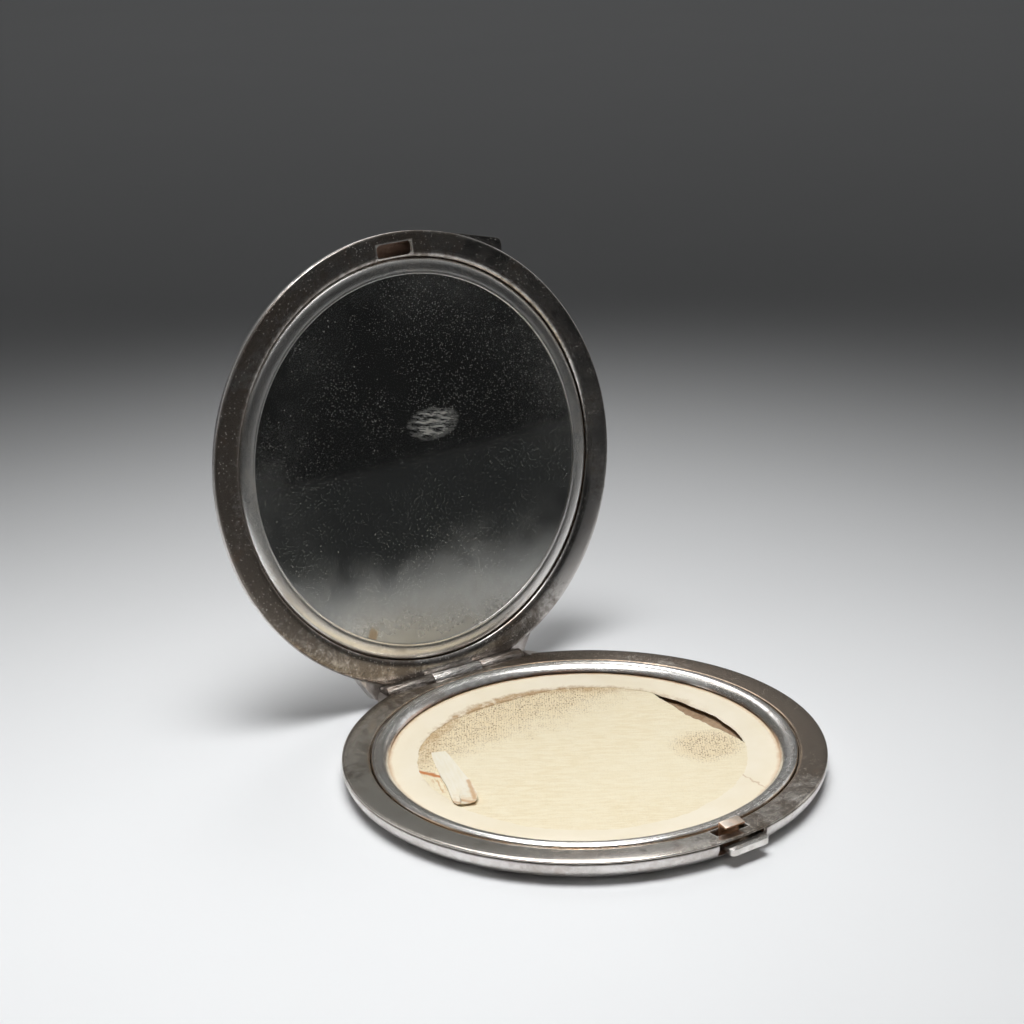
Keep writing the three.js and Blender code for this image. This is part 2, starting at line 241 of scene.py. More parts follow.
def rounded(corners, radius, steps=6):
    """Outline with each corner replaced by an arc-like curve. radius is one number or one each."""
    count = len(corners)
    radii = radius if isinstance(radius, (list, tuple)) else [radius] * count
    line = []
    for i, corner in enumerate(corners):
        here = Vector(corner)
        before = Vector(corners[i - 1]) - here
        after = Vector(corners[(i + 1) % count]) - here
        reach = min(radii[i], before.length * 0.49, after.length * 0.49)
        if reach < 1e-6:
            line.append(tuple(here))
            continue
        start = here + before.normalized() * reach
        stop = here + after.normalized() * reach
        for k in range(steps + 1):
            t = k / steps
            line.append(tuple(start * (1 - t) ** 2 + here * 2 * t * (1 - t) + stop * t * t))
    return line


# ---- material helpers -----------------------------------------------------------------------
class Paint:
    """A node material, with short calls for the nodes that the finishes share."""

    def __init__(self, name):
        self.material = bpy.data.materials.new(name)
        self.material.use_nodes = True
        self.tree = self.material.node_tree
        self.shader = self.tree.nodes["Principled BSDF"]
        self.place = self.node("ShaderNodeTexCoord").outputs["Object"]

    def node(self, kind, **settings):
        made = self.tree.nodes.new(kind)
        for key, value in settings.items():
            setattr(made, key, value)
        return made

    def link(self, source, target):
        if isinstance(source, bpy.types.NodeSocket):
            self.tree.links.new(source, target)
        else:
            target.default_value = source

    def math(self, operation, a, b=0.0):
        made = self.node("ShaderNodeMath", operation=operation)
        for value, socket in zip((a, b), made.inputs):
            self.link(value, socket)
        return made.outputs[0]

    def times(self, a, b):
        return self.math("MULTIPLY", a, b)

    def plus(self, a, b):
        return self.math("ADD", a, b)

    def minus(self, a, b):
        return self.math("SUBTRACT", a, b)

    def stretched(self, scale, turn=0.0):
        """Coordinates turned about Z, then scaled along their own axes."""
        made = self.node("ShaderNodeMapping", vector_type="TEXTURE")
        made.inputs["Scale"].default_value = [1 / value for value in scale]
        made.inputs["Rotation"].default_value = (0, 0, turn)
        self.link(self.place, made.inputs["Vector"])
        return made.outputs[0]

    def noise(self, per_mm, detail=4.0, rough=0.6, where=None, warp=0.0):
        made = self.node("ShaderNodeTexNoise")
        made.inputs["Scale"].default_value = per_mm / MM
        made.inputs["Detail"].default_value = detail
        made.inputs["Roughness"].default_value = rough
        made.inputs["Distortion"].default_value = warp
        self.link(where or self.place, made.inputs["Vector"])
        return made.outputs["Fac"]

    def wobble(self, reach, per_mm, detail, rough):
        """Noise about 0, at most half of reach either way."""
        return self.times(self.minus(self.noise(per_mm, detail, rough), 0.5), reach)

    def spots(self, per_mm, where=None):
        """Distance to the nearest of many scattered points."""
        made = self.node("ShaderNodeTexVoronoi")
        made.inputs["Scale"].default_value = per_mm / MM
        self.link(where or self.place, made.inputs["Vector"])
        return made.outputs["Distance"]

    def step(self, value, low, high, out_low=0.0, out_high=1.0):
        """Maps low..high to out_low..out_high, clamped."""
        made = self.node("ShaderNodeMapRange", clamp=True)
        for socket, number in zip(made.inputs, (value, low, high, out_low, out_high)):
            self.link(number, socket)
        return made.outputs[0]

    def mix(self, factor, a, b):
        made = self.node("ShaderNodeMix", data_type="RGBA")
        self.link(factor, made.inputs[0])
        self.link(a if isinstance(a, bpy.types.NodeSocket) else (*a, 1), made.inputs[6])
        self.link(b if isinstance(b, bpy.types.NodeSocket) else (*b, 1), made.inputs[7])
        return made.outputs[2]

    def axes(self):
        made = self.node("ShaderNodeSeparateXYZ")
        self.link(self.place, made.inputs[0])
        return made.outputs

    def flat_axes(self):
        """X and Y in millimetres."""
        x, y, _ = self.axes()
        return self.times(x, 1 / MM), self.times(y, 1 / MM)

    def oval(self, centre, half_size):
        """0 at the centre of an oval and 1 on its edge, with its sizes in millimetres."""
        shares = [
            self.math("DIVIDE", self.minus(axis, middle), half)
            for axis, middle, half in zip(self.flat_axes(), centre, half_size)
        ]
        return self.math("SQRT", self.plus(*[self.times(share, share) for share in shares]))

    def radius(self):
        """Distance from the Z axis, in millimetres."""
        x, y, _ = self.axes()
        square = self.plus(self.times(x, x), self.times(y, y))
        return self.times(self.math("SQRT", square), 1 / MM)

    def polar(self, around_scale, radial_scale):
        """Coordinates that run round the Z axis, so that streaks follow the turning."""
        x, y, z = self.axes()
        turn = self.math("ARCTAN2", y, x)
        made = self.node("ShaderNodeCombineXYZ")
        self.link(self.times(turn, around_scale), made.inputs[0])
        self.link(self.times(self.radius(), radial_scale), made.inputs[1])
        self.link(self.times(z, radial_scale / MM), made.inputs[2])
        return made.outputs[0]

    def bump(self, height, distance):
        """distance is the relief's depth in millimetres."""
        made = self.node("ShaderNodeBump")
        made.inputs["Strength"].default_value = 1.0
        made.inputs["Distance"].default_value = distance * MM
        self.link(height, made.inputs["Height"])
        return made.outputs[0]

    def finish(self, **sockets):
        for key, value in sockets.items():
            socket = self.shader.inputs[key.replace("_", " ")]
            if isinstance(value, tuple) and len(value) == 3 and socket.type == "RGBA":
                value = (*value, 1)
            self.link(value, socket)
        return self.material


def silver(name, clean, tarnish, cover, rough, pits=0.0, scratch=0.4, bands=(), drawn=0.0,
           lean=(0.0, 0.0), film=0.05, wear_and_painted_highlight=None):
    """Silver plate. Lengths are in millimetres.

    cover: how much tarnish there is, from 0 to 1. rough: mean roughness. pits: strength of the pale
    corroded specks. scratch: depth of the fine turning marks. bands: rings of another colour, each
    (inner radius, outer radius, colour). drawn: strength of wear lines along X, as on a hinge tube.
    lean: the direction in which tarnish gathers. film: how far tarnish scatters light instead of
    mirroring it. The last, a slot's (left, right, front, back): its edge gets a painted highlight, and is
    worn bright where the hook rubs.
    """
    p = Paint(name)
    clouds = p.noise(0.09, 5, 0.62, warp=0.4)
    mottle = p.noise(0.9, 6, 0.7)
    both = p.plus(p.times(clouds, 0.62), p.times(mottle, 0.38))
    x, y, _ = p.axes()
    for axis, share in zip((x, y), lean):
        both = p.plus(both, p.times(axis, share / MM / RIM_R))
    edge = 0.5 + (0.5 - cover) * 0.3
    patina = p.step(both, edge - 0.07, edge + 0.08)
    turned = p.noise(1.0, 3, 0.6, where=p.polar(9.0, 5.0))
    hair = p.step(p.noise(1.0, 2, 0.5, where=p.polar(2.2, 16.0)), 0.63, 0.7)
    colour = p.mix(patina, clean, tarnish)
    worn_lines = p.step(p.noise(1.0, 4, 0.6, where=p.stretched((0.35, 2.6, 2.6))), 0.42, 0.60)
    colour = p.mix(p.times(worn_lines, drawn), colour, (0.11, 0.085, 0.065))
    rust = p.step(p.noise(0.28, 5, 0.7), 0.56, 0.68)
    colour = p.mix(p.times(rust, 0.45 * cover), colour, (0.34, 0.20, 0.13))
    radius = p.radius()
    for low, high, tint in bands:
        started = p.step(radius, low - 0.08, low + 0.08)
        inside = p.times(started, p.step(radius, high - 0.1, high + 0.1, 1, 0))
        shade = p.step(p.noise(0.12, 4, 0.6), 0.42, 0.6, 0.15, 0.8)
        colour = p.mix(p.times(inside, shade), colour, tint)
    speck = p.step(p.spots(1.9), 0.06, 0.19, 1.0, 0.0)
    specked = p.step(p.noise(0.11, 5, 0.7), 0.40, 0.58)
    pit = p.times(p.times(speck, specked), pits)
    colour = p.mix(p.times(pit, 0.8), colour, (0.80, 0.77, 0.72))
    gloss = p.step(turned, 0.3, 0.7, rough * 0.7, rough * 1.3)
    gloss = p.plus(gloss, p.times(patina, 0.06))
    gloss = p.plus(gloss, p.times(pit, 0.35))
    relief = p.plus(p.times(mottle, 0.35), p.times(hair, -scratch))
    relief = p.plus(relief, p.times(pit, -0.8))
    relief = p.plus(relief, p.times(worn_lines, -3 * drawn))
    # Painted highlight round the slot's edge, as a bevel catching the light, together with wear where the
    # hook rubs.
    if wear_and_painted_highlight:
        sides = [(x, wear_and_painted_highlight[0], wear_and_painted_highlight[1]), (y, wear_and_painted_highlight[2], wear_and_painted_highlight[3])]
        away = [
            p.minus(p.math("ABSOLUTE", p.minus(axis, (low + high) / 2 * MM)), (high - low) / 2 * MM)
            for axis, low, high in sides
        ]
        worn = p.step(p.times(p.math("MAXIMUM", *away), 1 / MM), 0.02, 0.32, 0.85, 0.0)
        colour = p.mix(worn, colour, (0.86, 0.82, 0.76))
        pit = p.math("MAXIMUM", pit, p.times(worn, 0.35))
    matt = p.plus(p.times(patina, film), p.times(pit, 0.8))
    return p.finish(
        Base_Color=colour, Metallic=p.minus(1.0, matt), Roughness=gloss,
        Normal=p.bump(relief, 0.012),
    )


def bronze():
    """Copper-coloured spring strip, with a pale painted highlight where it faces up."""
    p = Paint("bare_copper_strip")
    stain = p.step(p.noise(0.8, 5, 0.65), 0.38, 0.62)
    dark = p.step(p.noise(2.1, 3, 0.6), 0.58, 0.72)
    colour = p.mix(stain, (0.70, 0.43, 0.29), (0.46, 0.25, 0.13))
    colour = p.mix(p.times(dark, 0.8), colour, (0.12, 0.05, 0.03))
    # Painted highlight: faces that look up are paled, as if they caught the overhead light.
    up = p.node("ShaderNodeSeparateXYZ")
    p.link(p.node("ShaderNodeTexCoord").outputs["Normal"], up.inputs[0])
    wear_and_painted_highlight = p.times(p.step(up.outputs[2], 0.6, 0.9), p.step(stain, 0, 1, 0.9, 0.55))
    colour = p.mix(wear_and_painted_highlight, colour, (0.82, 0.74, 0.64))
    return p.finish(
        Base_Color=colour, Metallic=0.85, Roughness=p.step(stain, 0, 1, 0.28, 0.5),
        Normal=p.bump(p.noise(3.0, 3), 0.01),
    )


def back_share(p, low, high):
    """0 to 1 from the front of the sifter to its back, between two distances in millimetres."""
    x, y = p.flat_axes()
    return p.step(p.minus(p.times(y, 0.95), p.times(x, 0.05)), low, high)


def kid():
    """Smooth cream border, browned and blotched where it meets the net."""
    p = Paint("cream_border")
    radius = p.radius()
    clouds = p.noise(0.12, 4, 0.55)
    colour = p.mix(p.step(clouds, 0.35, 0.65), (0.84, 0.75, 0.57), (0.88, 0.80, 0.64))
    ragged = p.plus(radius, p.wobble(5.0, 0.45, 5, 0.75))
    inner = p.step(ragged, 26.1, 27.6, 1, 0)
    blotch = p.step(p.noise(0.55, 5, 0.75), 0.33, 0.50)
    brown = p.times(p.times(inner, back_share(p, -2, 12)), blotch)
    colour = p.mix(p.times(brown, 0.9), colour, (0.42, 0.25, 0.10))
    outer = p.step(p.plus(radius, p.noise(0.5, 3)), 32.1, 32.9)
    colour = p.mix(p.times(outer, 0.75), colour, (0.58, 0.36, 0.19))
    x, y = p.flat_axes()
    crack_x = p.plus(p.minus(x, 15.9), p.wobble(2.4, 0.5, 4, 0.7))
    thin = p.step(p.math("ABSOLUTE", crack_x), 0.05, 0.22, 1, 0)
    reach = p.times(p.step(y, -28.2, -27.0), p.step(y, -21.5, -20.5, 1, 0))
    colour = p.mix(p.times(p.times(thin, reach), 0.6), colour, (0.52, 0.34, 0.18))
    grain = p.noise(1.6, 5, 0.7)
    return p.finish(
        Base_Color=colour, Roughness=p.step(grain, 0.3, 0.7, 0.5, 0.72), Sheen_Weight=0.15,
        Normal=p.bump(grain, 0.02), Specular_IOR_Level=0.35,
    )


NET_PITCH = 0.42                   # millimetres from hole to hole


def segment_mask(p, start, stop, width, ragged):
    """1 near the line from start to stop, in millimetres, with a ragged edge."""
    x, y = p.flat_axes()
    along = Vector(stop) - Vector(start)
    length = along.length
    along.normalize()
    dx = p.minus(x, start[0])
    dy = p.minus(y, start[1])
    run = p.plus(p.times(dx, along.x), p.times(dy, along.y))
    off = p.minus(p.times(dy, along.x), p.times(dx, along.y))
    off = p.plus(off, p.wobble(ragged, 0.8, 4, 0.7))
    near = p.step(p.math("ABSOLUTE", off), width * 0.35, width, 1, 0)
    ends = p.times(p.step(run, -0.2, 0.3), p.step(run, length - 0.3, length + 0.2, 1, 0))
    return p.times(near, ends)


def net():
    """Fine net, mostly clogged with powder, its holes open and dark in two worn areas."""
    p = Paint("cream_net")
    x, y = p.flat_axes()
    threads = p.stretched((1.0, 1.0, 1.0), VIEW_TURN)
    turned = p.node("ShaderNodeSeparateXYZ")
    p.link(threads, turned.inputs[0])
    wave = math.pi * 2 / NET_PITCH / MM
    wander = p.times(p.noise(0.3, 3, 0.6), 9.0)
    over = p.math("SINE", p.plus(p.times(turned.outputs[0], wave), wander))
    along = p.math("SINE", p.plus(p.times(turned.outputs[1], wave), wander))
    weave = p.times(p.plus(over, along), 0.5)
    dot = p.step(p.spots(2.5), 0.20, 0.40, 1.0, 0.0)
    hole = p.math("MAXIMUM", p.times(p.step(weave, 0.45, 0.85), 0.6), dot)
    ragged = p.wobble(16.0, 0.13, 4, 0.65)
    rear = p.step(p.plus(p.minus(y, p.times(x, 0.08)), ragged), 11.0, 18.5)
    apart = p.oval((18.6, -9.3), (7.0, 6.6))
    side = p.step(p.plus(apart, p.times(ragged, 0.04)), 0.6, 1.05, 1.0, 0.0)
    worn = p.math("MAXIMUM", rear, side)
    fibre = p.noise(1.1, 4, 0.65, where=p.stretched((0.3, 1.3, 1.0), VIEW_TURN))
    cream = p.mix(p.step(fibre, 0.38, 0.62), (0.82, 0.71, 0.49), (0.88, 0.79, 0.59))
    tone = p.step(p.noise(0.05, 3, 0.5), 0.35, 0.65)
    cream = p.mix(p.times(tone, 0.45), cream, (0.87, 0.79, 0.60))
    cream = p.mix(p.times(worn, 0.45), cream, (0.78, 0.62, 0.38))
    shown = p.plus(p.times(worn, 0.9), 0.07)
    clogged = p.step(p.noise(0.7, 3, 0.6), 0.30, 0.46)
    dark = p.times(p.times(hole, shown), clogged)
    colour = p.mix(dark, cream, (0.20, 0.10, 0.04))
    ragged_r = p.plus(p.radius(), p.wobble(4.0, 0.45, 5, 0.75))
    rimmed = p.times(p.step(ragged_r, 24.2, 25.8), back_share(p, 10, 19))
    rimmed = p.times(rimmed, p.step(p.noise(0.55, 5, 0.75), 0.38, 0.58))
    colour = p.mix(p.times(rimmed, 0.6), colour, (0.44, 0.26, 0.10))
    tear = segment_mask(p, (-26.0, 12.0), (-23.4, 7.2), 0.62, 1.1)
    strands = segment_mask(p, (-24.2, 7.8), (-26.4, 2.2), 1.3, 1.2)
    lines = p.step(p.noise(1.0, 2, 0.5, where=p.stretched((2.6, 0.5, 1.0), -0.35)), 0.50, 0.60)
    colour = p.mix(p.times(p.times(strands, lines), 0.75), colour, (0.62, 0.38, 0.17))
    colour = p.mix(p.times(tear, 0.95), colour, (0.55, 0.20, 0.06))
    relief = p.minus(p.times(fibre, 0.5), p.times(hole, 0.5))
    relief = p.minus(relief, tear)
    return p.finish(
        Base_Color=colour, Roughness=0.88, Sheen_Weight=0.1, Specular_IOR_Level=0.2,
        Normal=p.bump(relief, 0.05),
    )


def silk():
    """Cream ribbon, browned along the edges of its free end, with painted shade along its right edge."""
    p = Paint("cream_ribbon")
    rib = p.noise(2.6, 2, 0.5, where=p.stretched((1.0, 0.12, 1.0), -0.37))
    _, y = p.flat_axes()
    low = p.step(y, -2.6, 2.0, 1.0, 0.0)
    stain = p.times(low, p.step(p.noise(0.7, 4, 0.7), 0.46, 0.58))
    colour = p.mix(p.step(rib, 0.35, 0.65), (0.88, 0.81, 0.64), (0.91, 0.85, 0.71))
    # Darker edges: brown stain, and along the right edge also painted shade beside the lifted loop.
    right_edge = segment_mask(p, (-20.6, 3.6), (-24.2, -4.0), 0.5, 0.5)
    left_edge = segment_mask(p, (-27.6, -1.4), (-24.4, -4.6), 0.6, 0.6)
    edge = p.math("MAXIMUM", right_edge, left_edge)
    colour = p.mix(p.times(stain, 0.45), colour, (0.70, 0.48, 0.24))
    colour = p.mix(p.times(edge, 0.75), colour, (0.60, 0.34, 0.14))
    return p.finish(
        Base_Color=colour, Roughness=0.55, Sheen_Weight=0.4, Normal=p.bump(rib, 0.03),
    )


def powder():
    p = Paint("loose_powder")
    lumps = p.noise(0.5, 6, 0.7)
    colour = p.mix(p.step(lumps, 0.35, 0.65), (0.30, 0.19, 0.11), (0.46, 0.33, 0.21))
    return p.finish(Base_Color=colour, Roughness=0.95, Normal=p.bump(lumps, 0.3))


def mirror():
    """Silvered glass under fine dust, haze, droplets, a wiped smudge and a warm stain."""
    p = Paint("hazed_mirror")
    _, y = p.flat_axes()
    fog = p.noise(0.06, 5, 0.62, warp=0.6)
    low = p.step(p.plus(y, p.times(p.minus(fog, 0.5), 22.0)), 14, 32)
    edge = p.times(p.step(p.radius(), 20, 34), p.step(p.noise(0.09, 5, 0.65), 0.40, 0.62))
    grain = p.step(p.spots(2.5, where=p.stretched((1.0, 1.2, 1.0))), 0.06, 0.2, 1.0, 0.0)
    patch = p.step(p.noise(0.11, 7, 0.72), 0.40, 0.60)
    dust = p.times(grain, patch)
    fleck = p.step(p.spots(1.1), 0.03, 0.12, 1.0, 0.0)
    fleck = p.times(fleck, p.step(p.noise(0.5, 3, 0.6), 0.5, 0.62))
    wiped = p.step(p.oval((3.7, -5.9), (5.4, 3.0)), 0.6, 1.05, 1.0, 0.0)
    streak = p.step(p.noise(1.2, 4, 0.65, where=p.stretched((0.35, 1.6, 1.0), 0.25)), 0.42, 0.60)
    smudge = p.times(wiped, streak)
    haze = p.plus(p.times(low, 0.30), p.times(edge, 0.07))
    for layer in (dust, p.times(smudge, 0.50), fleck):
        haze = p.plus(haze, layer)
    stain = segment_mask(p, (-15.0, 28.2), (-13.4, 28.9), 1.7, 1.2)
    haze = p.plus(p.math("MAXIMUM", haze, p.times(stain, 0.6)), 0.006)
    colour = p.mix(p.step(haze, 0, 0.5), (0.70, 0.71, 0.69), (0.62, 0.61, 0.57))
    colour = p.mix(p.times(stain, 0.8), colour, (0.56, 0.41, 0.24))
    return p.finish(
        Base_Color=colour, Metallic=p.minus(1.0, haze),
        Roughness=p.step(haze, 0, 0.5, 0.03, 0.45),
    )


def card():
    p = Paint("packing_card")
    fibre = p.noise(0.8, 5, 0.7)
    colour = p.mix(fibre, (0.36, 0.29, 0.19), (0.50, 0.42, 0.30))
    return p.finish(Base_Color=colour, Roughness=0.9, Normal=p.bump(fibre, 0.05))


GOLD = (0.74, 0.53, 0.34)
PAINTS = {
    "shell": silver("shell_silver", (0.82, 0.79, 0.77), (0.58, 0.54, 0.51), 0.45, 0.28, 0.5),
    "lining": silver("brown_lining", (0.60, 0.42, 0.32), (0.36, 0.23, 0.17), 0.5, 0.45, film=0.4),
    "rim": silver("tarnished_silver", (0.82, 0.76, 0.69), (0.23, 0.185, 0.145), 0.55, 0.17, 0.3,
                  bands=[(PLATE_IN, 35.85, (0.66, 0.50, 0.36))], lean=(0.14, 0.06), wear_and_painted_highlight=BASE_SLOT),
    "lid_rim": silver("dark_tarnished_silver", (0.64, 0.61, 0.58), (0.21, 0.18, 0.155), 0.52, 0.15, 1.2,
                      film=0.2, lean=(-0.10, 0.0), wear_and_painted_highlight=LID_SLOT),
    "bright": silver("bright_silver", (0.90, 0.88, 0.85), (0.66, 0.62, 0.58), 0.4, 0.15, 0.3),
    "ring": silver("ring_silver", (0.88, 0.86, 0.83), (0.58, 0.54, 0.50), 0.45, 0.17, 0.5,
                   bands=[(32.0, 32.5, (0.66, 0.38, 0.24)), (35.05, 35.3, GOLD)]),
    "hinge": silver("hinge_silver", (0.84, 0.81, 0.78), (0.55, 0.50, 0.46), 0.4, 0.2, 0.6, drawn=0.6),
    "lid_hinge": silver("worn_hinge_silver", (0.66, 0.61, 0.57), (0.20, 0.165, 0.14), 0.5, 0.22, 0.8,
                        drawn=0.9),
    "bezel": silver("bezel_silver", (0.92, 0.90, 0.87), (0.72, 0.68, 0.63), 0.25, 0.27, 0.5),
    "hidden": silver("inner_silver", (0.55, 0.50, 0.44), (0.28, 0.22, 0.16), 0.5, 0.4),
    "bronze": bronze(),
    "kid": kid(),
    "net": net(),
    "silk": silk(),
    "powder": powder(),
    "mirror": mirror(),
    "card": card(),
}


def dress(obj, paint):
    """Gives a piece one finish and no other."""
    obj.data.materials.clear()
    obj.data.materials.append(PAINTS[paint])
    return obj


def line_inside(obj, paint, centre):
    """Gives the faces that look toward a point inside their own finish."""
    obj.data.materials.append(PAINTS[paint])
    middle = Vector(centre) * MM
    for face in obj.data.polygons:
        toward = (middle - face.center).normalized()
        within = face.center.xy.length < (RIM_R - SHEET + 0.04) * MM
        if within and face.normal.dot(toward) > 0.02:
            face.material_index = 1


def place(obj, paint, body, node, lining=None):
    """Puts a finished piece on its body, in place of its CAD node."""
    dress(obj, paint)
    if lining:
        line_inside(obj, *lining)
    if body == "lid":
        obj.matrix_world = LID_OPEN
    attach(obj, body)
    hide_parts(node)
    return obj


# ---- shells ---------------------------------------------------------------------------------
def cushion(edge, low, high, steps=28):
    """Section of a pressed shell: flat, then rising ever more steeply to the wall."""
    line = []
    for i in range(steps + 1):
        rise = max(math.cos(math.pi / 2 * i / steps), 0.0)
        spread = (1 - rise ** 2.27) ** 0.25
        line.append((REST_R + (edge - REST_R) * spread, low + (high - low) * (1 - rise)))
    return line


FLAT_STEPS = (0, 10, 20, 27)       # radii of the rings in a shell's flat part


def dish(name, wall):
    """A pressed shell, open at the top, whose wall ends at a height."""
    outside = cushion(RIM_R, 0, wall - 0.12)
    lip = [(RIM_R - 0.04, wall - 0.04), (RIM_R - 0.12, wall), (RIM_R - SHEET + 0.1, wall)]
    inside = cushion(RIM_R - SHEET, SHEET, wall - 0.1)[::-1]
    flat_out = [(radius, 0) for radius in FLAT_STEPS]
    flat_in = [(radius, SHEET) for radius in reversed(FLAT_STEPS)]
    return lathe(name, [*flat_out, *outside, *lip, *inside, *flat_in])


def boss_outline(back):
    """Outline of the straight-backed block that carries the hinge, seen from above."""
    half, end, front = 18.3, HINGE_HALF + 0.6, 35.8
    shoulder = math.sqrt(RIM_R ** 2 - half ** 2)
    corners = [(-half + 1.2, front), (half - 1.2, front), (half, shoulder), (end + 0.3, back),
               (-end - 0.3, back), (-half, shoulder)]
    return rounded(corners, [0, 0, 0.6, 0.9, 0.9, 0.6])


def hinge_slope():
    """Cuts the base's rim down toward the hinge tubes."""
    low, top = BASE_WALL - 0.2, RIM_Z + 2
    section = [
        (SLOPE_Y, RIM_Z), (HINGE_Y - TROUGH_R, low), (RIM_R + 2, low), (RIM_R + 2, top), (SLOPE_Y, top),
    ]
    return bar("slope", section, -NOTCH_HALF, NOTCH_HALF)


def base_shell():
    shell = dish("base_shell_pressed", BASE_WALL)
    boss = prism("boss", boss_outline(BOSS_BACK), 0.9, BASE_WALL)
    soften(boss, 0.3, segments=4)
    inner = lathe("core", [(0, -1), (36.6, -1), (36.6, 9), (0, 9)])
    boolean(boss, inner, "DIFFERENCE")
    boolean(shell, boss, "UNION")
    boolean(shell, rod("trough", TROUGH_R, -NOTCH_HALF, NOTCH_HALF), "DIFFERENCE")
    above = block("above", (-NOTCH_HALF, HINGE_Y - TROUGH_R, HINGE_Z), (NOTCH_HALF, RIM_R + 2, 9))
    boolean(shell, above, "DIFFERENCE")
    boolean(shell, hinge_slope(), "DIFFERENCE")
    window = block("window", (CATCH_X - 4.1, -RIM_R - 1, 1.7), (CATCH_X + 5.5, -37, 9))
    boolean(shell, window, "DIFFERENCE")
    soften(shell, 0.06)
    return place(shell, "shell", "base", "base_shell", ("lining", (0, 0, BASE_WALL)))


def lid_shell():
    wall = LID_TOP - LID_WALL_Z
    shell = dish("lid_shell_pressed", wall)
    shell.data.transform(Matrix.Translation((0, 0, LID_TOP * MM)) @ Matrix.Rotation(math.pi, 4, "X"))
    boss = prism("lid_boss", boss_outline(HINGE_Y + 1.1), LID_WALL_Z, LID_TOP - 1.3)
    soften(boss, 0.35, segments=4)
    boolean(boss, lathe("core", [(0, 0), (38.2, 0), (38.2, 20), (0, 20)]), "DIFFERENCE")
    boolean(shell, boss, "UNION")
    soften(shell, 0.06)
    return place(shell, "shell", "lid", "lid_shell", ("lining", (0, 0, LID_WALL_Z)))


# ---- rim plates -----------------------------------------------------------------------------
def slot_cutter(slot, corner_radius):
    left, right, front, back = slot
    corners = [(left, front), (right, front), (right, back), (left, back)]
    return prism("slot", rounded(corners, corner_radius), 0, 9)


def base_rim():
    top = smooth_line([
        (PLATE_IN + 0.02, RIM_Z - 0.34), (PLATE_IN + 0.06, RIM_Z - 0.22), (PLATE_IN + 0.3, RIM_Z - 0.14),
        (36.6, RIM_Z - 0.09), (38.0, RIM_Z - 0.015), (39.2, RIM_Z), (39.75, RIM_Z - 0.05),
        (39.97, RIM_Z - 0.2), (RIM_R - 0.01, RIM_Z - 0.34),
    ])
    under = [
        (RIM_R - 0.06, RIM_Z - PLATE), (38, RIM_Z - PLATE - 0.07), (PLATE_IN + 0.05, RIM_Z - PLATE - 0.14),
    ]
    plate = lathe("base_rim_plate_rolled", [*top, *under])
    boolean(plate, slot_cutter(BASE_SLOT, 0.35), "DIFFERENCE")
    boolean(plate, hinge_slope(), "DIFFERENCE")
    soften(plate, 0.08)
    return place(plate, "rim", "base", "base_rim_plate")


def lid_rim():
    z = LID_RIM_Z
    face = smooth_line([
        (RIM_R - 0.01, z + 0.36), (39.97, z + 0.2), (39.8, z + 0.08), (39.4, z + 0.03),
        (38.7, z + 0.015), (38.0, z + 0.01), (37.2, z + 0.015), (36.6, z + 0.03), (36.2, z + 0.07),
        (35.9, z + 0.14), (35.66, z + 0.26), (PLATE_IN + 0.02, z + 0.42), (PLATE_IN, z + 0.62),
    ])
    above = [(PLATE_IN + 0.05, z + 0.88), (37.2, z + 0.68), (39.2, z + 0.4), (RIM_R - 0.08, z + 0.4)]
    plate = lathe("lid_rim_plate_rolled", [*face, *above])
    boolean(plate, slot_cutter(LID_SLOT, 0.9), "DIFFERENCE")
    notch = block("notch", (-NOTCH_HALF, HINGE_Y - 1.3, 0), (NOTCH_HALF, RIM_R + 2, 9))
    boolean(plate, notch, "DIFFERENCE")
    soften(plate, 0.1)
    return place(plate, "lid_rim", "lid", "lid_rim_plate")


# ---- mirror ---------------------------------------------------------------------------------
def mirror_bezel():
    z = LID_RIM_Z
    face = smooth_line([
        (35.38, z + 1.2), (35.36, z + 0.98), (35.2, z + 0.72), (34.85, z + 0.47), (34.35, z + 0.33),
        (33.8, z + 0.29), (33.3, z + 0.3), (32.9, z + 0.35), (32.66, z + 0.33), (32.52, z + 0.36),
        (32.5, z + 0.46),
    ])
    rest = [
        (32.6, z + 0.5), (GLASS_R + 0.2, z + 0.5), (GLASS_R + 0.2, z + 2.6), (35.1, z + 2.6),
        (35.1, z + 1.4),
    ]
    ring = lathe("mirror_bezel_turned", [*face, *rest])
    crease(ring, 50)
    return place(ring, "bezel", "lid", "mirror_bezel")


def mirror_glass():
    edge = 0.3                     # width of the bevel
    outline = [(0, GLASS_Z), (12, GLASS_Z), (24, GLASS_Z), (GLASS_R - edge, GLASS_Z),
               (GLASS_R, GLASS_Z + edge), (GLASS_R, GLASS_Z + 1.2), (0, GLASS_Z + 1.2)]
    glass = lathe("mirror_glass_bevelled", outline)
    crease(glass, 20)
    return place(glass, "mirror", "lid", "mirror_glass")


# ---- hinge ----------------------------------------------------------------------------------
def knuckle(name, low, high, web, node, body):
    """A bored tube on the hinge axis, joined to the web that holds it to its body."""
    tube = rod(name, KNUCKLE_R, low, high, 96)
    soften(tube, 0.14)
    boolean(tube, web, "UNION")
    boolean(tube, rod("bore", 0.5, low - 1, high + 1, 32), "DIFFERENCE")
    crease(tube, 35)
    paint = "lid_hinge" if body == "lid" else "hinge"
    return place(tube, paint, body, node)


def lid_leaf(low, high):
    """The strip that leads from a lid tube into the lid, tangent to the tube."""
    top, front = LID_WALL_Z - 0.1, HINGE_Y - 1.25
    section = [(front, LID_RIM_Z + 0.15), (HINGE_Y - 0.9, HINGE_Z + 1.25), (HINGE_Y + 0.5, HINGE_Z + 1),
               (HINGE_Y + 0.5, top), (front, top)]
    return bar("leaf", section, low, high)


